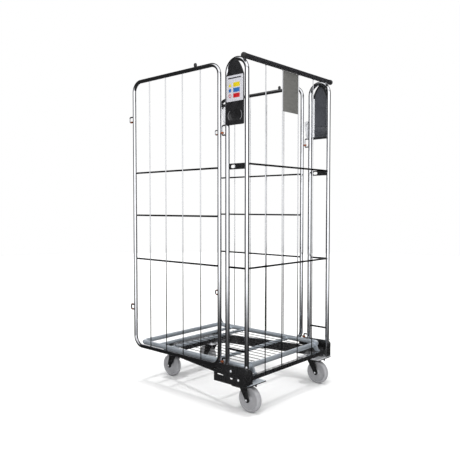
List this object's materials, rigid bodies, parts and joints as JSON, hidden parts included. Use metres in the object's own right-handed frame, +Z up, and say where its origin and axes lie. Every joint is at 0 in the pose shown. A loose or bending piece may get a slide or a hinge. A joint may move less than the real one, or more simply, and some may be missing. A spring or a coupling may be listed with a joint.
{
  "type": "roll cage container",
  "caption": "Nesting roll cage: A-frame chassis on swivel castors, folding wire deck, arched ends with push bar and rear grille, hinged mesh side gates, open front and top.",
  "frame": {"origin": "on the floor, under the middle of the bounding box", "axes": "+Z up, X across the width, -Y towards the push bar and rear grille, +Y towards the open loading end"},
  "size_m": [0.765, 0.9, 1.703],
  "materials": {
    "bright_zinc": "bright zinc plated tube and wire",
    "galvanised": "satin galvanised tube",
    "black_steel": "glossy black powder coat",
    "black_plastic": "moulded black plastic",
    "grey_plate": "matte warm grey sheet",
    "sign_board": "white board with plain coloured blocks",
    "nylon": "light grey nylon",
    "copper": "copper coloured bush",
    "rubber": "black rubber"
  },
  "bodies": {
    "frame": {"arch_left": "bright_zinc", "slot_plate_left": "black_steel", "arch_panel_left": "black_plastic", "corner_plate_left": "black_steel", "castor_plate_rear_left": "black_steel", "castor_plate_front_left": "black_steel", "side_rail_left": "black_steel", "bolt_guide_left": "bright_zinc", "deck_saddle_left": "galvanised", "deck_buffer_left": "rubber", "hinge_staple_lower_left": "bright_zinc", "hinge_staple_upper_left": "bright_zinc", "arch_right": "bright_zinc", "slot_plate_right": "black_steel", "arch_panel_right": "black_plastic", "corner_plate_right": "black_steel", "castor_plate_rear_right": "black_steel", "castor_plate_front_right": "black_steel", "side_rail_right": "black_steel", "bolt_guide_right": "bright_zinc", "deck_saddle_right": "galvanised", "deck_buffer_right": "rubber", "hinge_staple_lower_right": "bright_zinc", "hinge_staple_upper_right": "bright_zinc", "rear_crossbeam": "black_steel", "front_crossmember": "black_steel", "rear_grille": "bright_zinc", "push_bar": "black_plastic", "label_plate": "grey_plate", "sign_board": "sign_board"},
    "gate_left_leaf": {"gate_left": "bright_zinc", "gate_peg_left": "black_plastic", "gate_keeper_lower_left": "bright_zinc", "gate_keeper_upper_left": "bright_zinc", "gate_eye_lower_left": "copper", "gate_eye_upper_left": "copper"},
    "gate_right_leaf": {"gate_right": "bright_zinc", "gate_peg_right": "black_plastic", "gate_keeper_lower_right": "bright_zinc", "gate_keeper_upper_right": "bright_zinc", "gate_eye_lower_right": "copper", "gate_eye_upper_right": "copper"},
    "deck_leaf": {"deck": "galvanised"},
    "drop_bolt_left_slider": {"drop_bolt_left": "bright_zinc", "bolt_hook_left": "black_plastic"},
    "drop_bolt_right_slider": {"drop_bolt_right": "bright_zinc", "bolt_hook_right": "black_plastic"},
    "castor_rear_left": {"fork_rear_left": "black_steel", "axle_rear_left": "bright_zinc"},
    "castor_rear_left_wheel": {"wheel_rear_left": "nylon"},
    "castor_rear_right": {"fork_rear_right": "black_steel", "axle_rear_right": "bright_zinc"},
    "castor_rear_right_wheel": {"wheel_rear_right": "nylon"},
    "castor_front_left": {"fork_front_left": "black_steel", "axle_front_left": "bright_zinc"},
    "castor_front_left_wheel": {"wheel_front_left": "nylon"},
    "castor_front_right": {"fork_front_right": "black_steel", "axle_front_right": "bright_zinc"},
    "castor_front_right_wheel": {"wheel_front_right": "nylon"}
  },
  "joints": [
    {"name": "gate_left_swing", "type": "hinge", "parent": "frame", "child": "gate_left_leaf", "pos_m": [-0.353, -0.2575, 0.9], "axis": [0, 0, 1], "range_deg": [0, 125]},
    {"name": "gate_right_swing", "type": "hinge", "parent": "frame", "child": "gate_right_leaf", "pos_m": [0.353, -0.2575, 0.9], "axis": [0, 0, 1], "range_deg": [-125, 0]},
    {"name": "deck_fold", "type": "hinge", "parent": "frame", "child": "deck_leaf", "pos_m": [0, -0.3775, 0.22], "axis": [1, 0, 0], "range_deg": [0, 90]},
    {"name": "drop_bolt_left_lift", "type": "slide", "parent": "frame", "child": "drop_bolt_left_slider", "axis": [0, 0, 1], "range_m": [0, 0.03]},
    {"name": "drop_bolt_right_lift", "type": "slide", "parent": "frame", "child": "drop_bolt_right_slider", "axis": [0, 0, 1], "range_m": [0, 0.03]},
    {"name": "castor_rear_left_swivel", "type": "hinge", "parent": "frame", "child": "castor_rear_left", "pos_m": [-0.297, -0.3525, 0.13], "axis": [0, 0, 1], "continuous": true},
    {"name": "castor_rear_left_roll", "type": "hinge", "parent": "castor_rear_left", "child": "castor_rear_left_wheel", "pos_m": [-0.297, -0.3875, 0.0625], "axis": [1, 0, 0], "continuous": true},
    {"name": "castor_rear_right_swivel", "type": "hinge", "parent": "frame", "child": "castor_rear_right", "pos_m": [0.297, -0.3525, 0.13], "axis": [0, 0, 1], "continuous": true},
    {"name": "castor_rear_right_roll", "type": "hinge", "parent": "castor_rear_right", "child": "castor_rear_right_wheel", "pos_m": [0.297, -0.3875, 0.0625], "axis": [1, 0, 0], "continuous": true},
    {"name": "castor_front_left_swivel", "type": "hinge", "parent": "frame", "child": "castor_front_left", "pos_m": [-0.15, 0.2905, 0.13], "axis": [0, 0, 1], "continuous": true},
    {"name": "castor_front_left_roll", "type": "hinge", "parent": "castor_front_left", "child": "castor_front_left_wheel", "pos_m": [-0.15, 0.3255, 0.0625], "axis": [1, 0, 0], "continuous": true},
    {"name": "castor_front_right_swivel", "type": "hinge", "parent": "frame", "child": "castor_front_right", "pos_m": [0.15, 0.2905, 0.13], "axis": [0, 0, 1], "continuous": true},
    {"name": "castor_front_right_roll", "type": "hinge", "parent": "castor_front_right", "child": "castor_front_right_wheel", "pos_m": [0.15, 0.3255, 0.0625], "axis": [1, 0, 0], "continuous": true}
  ]
}
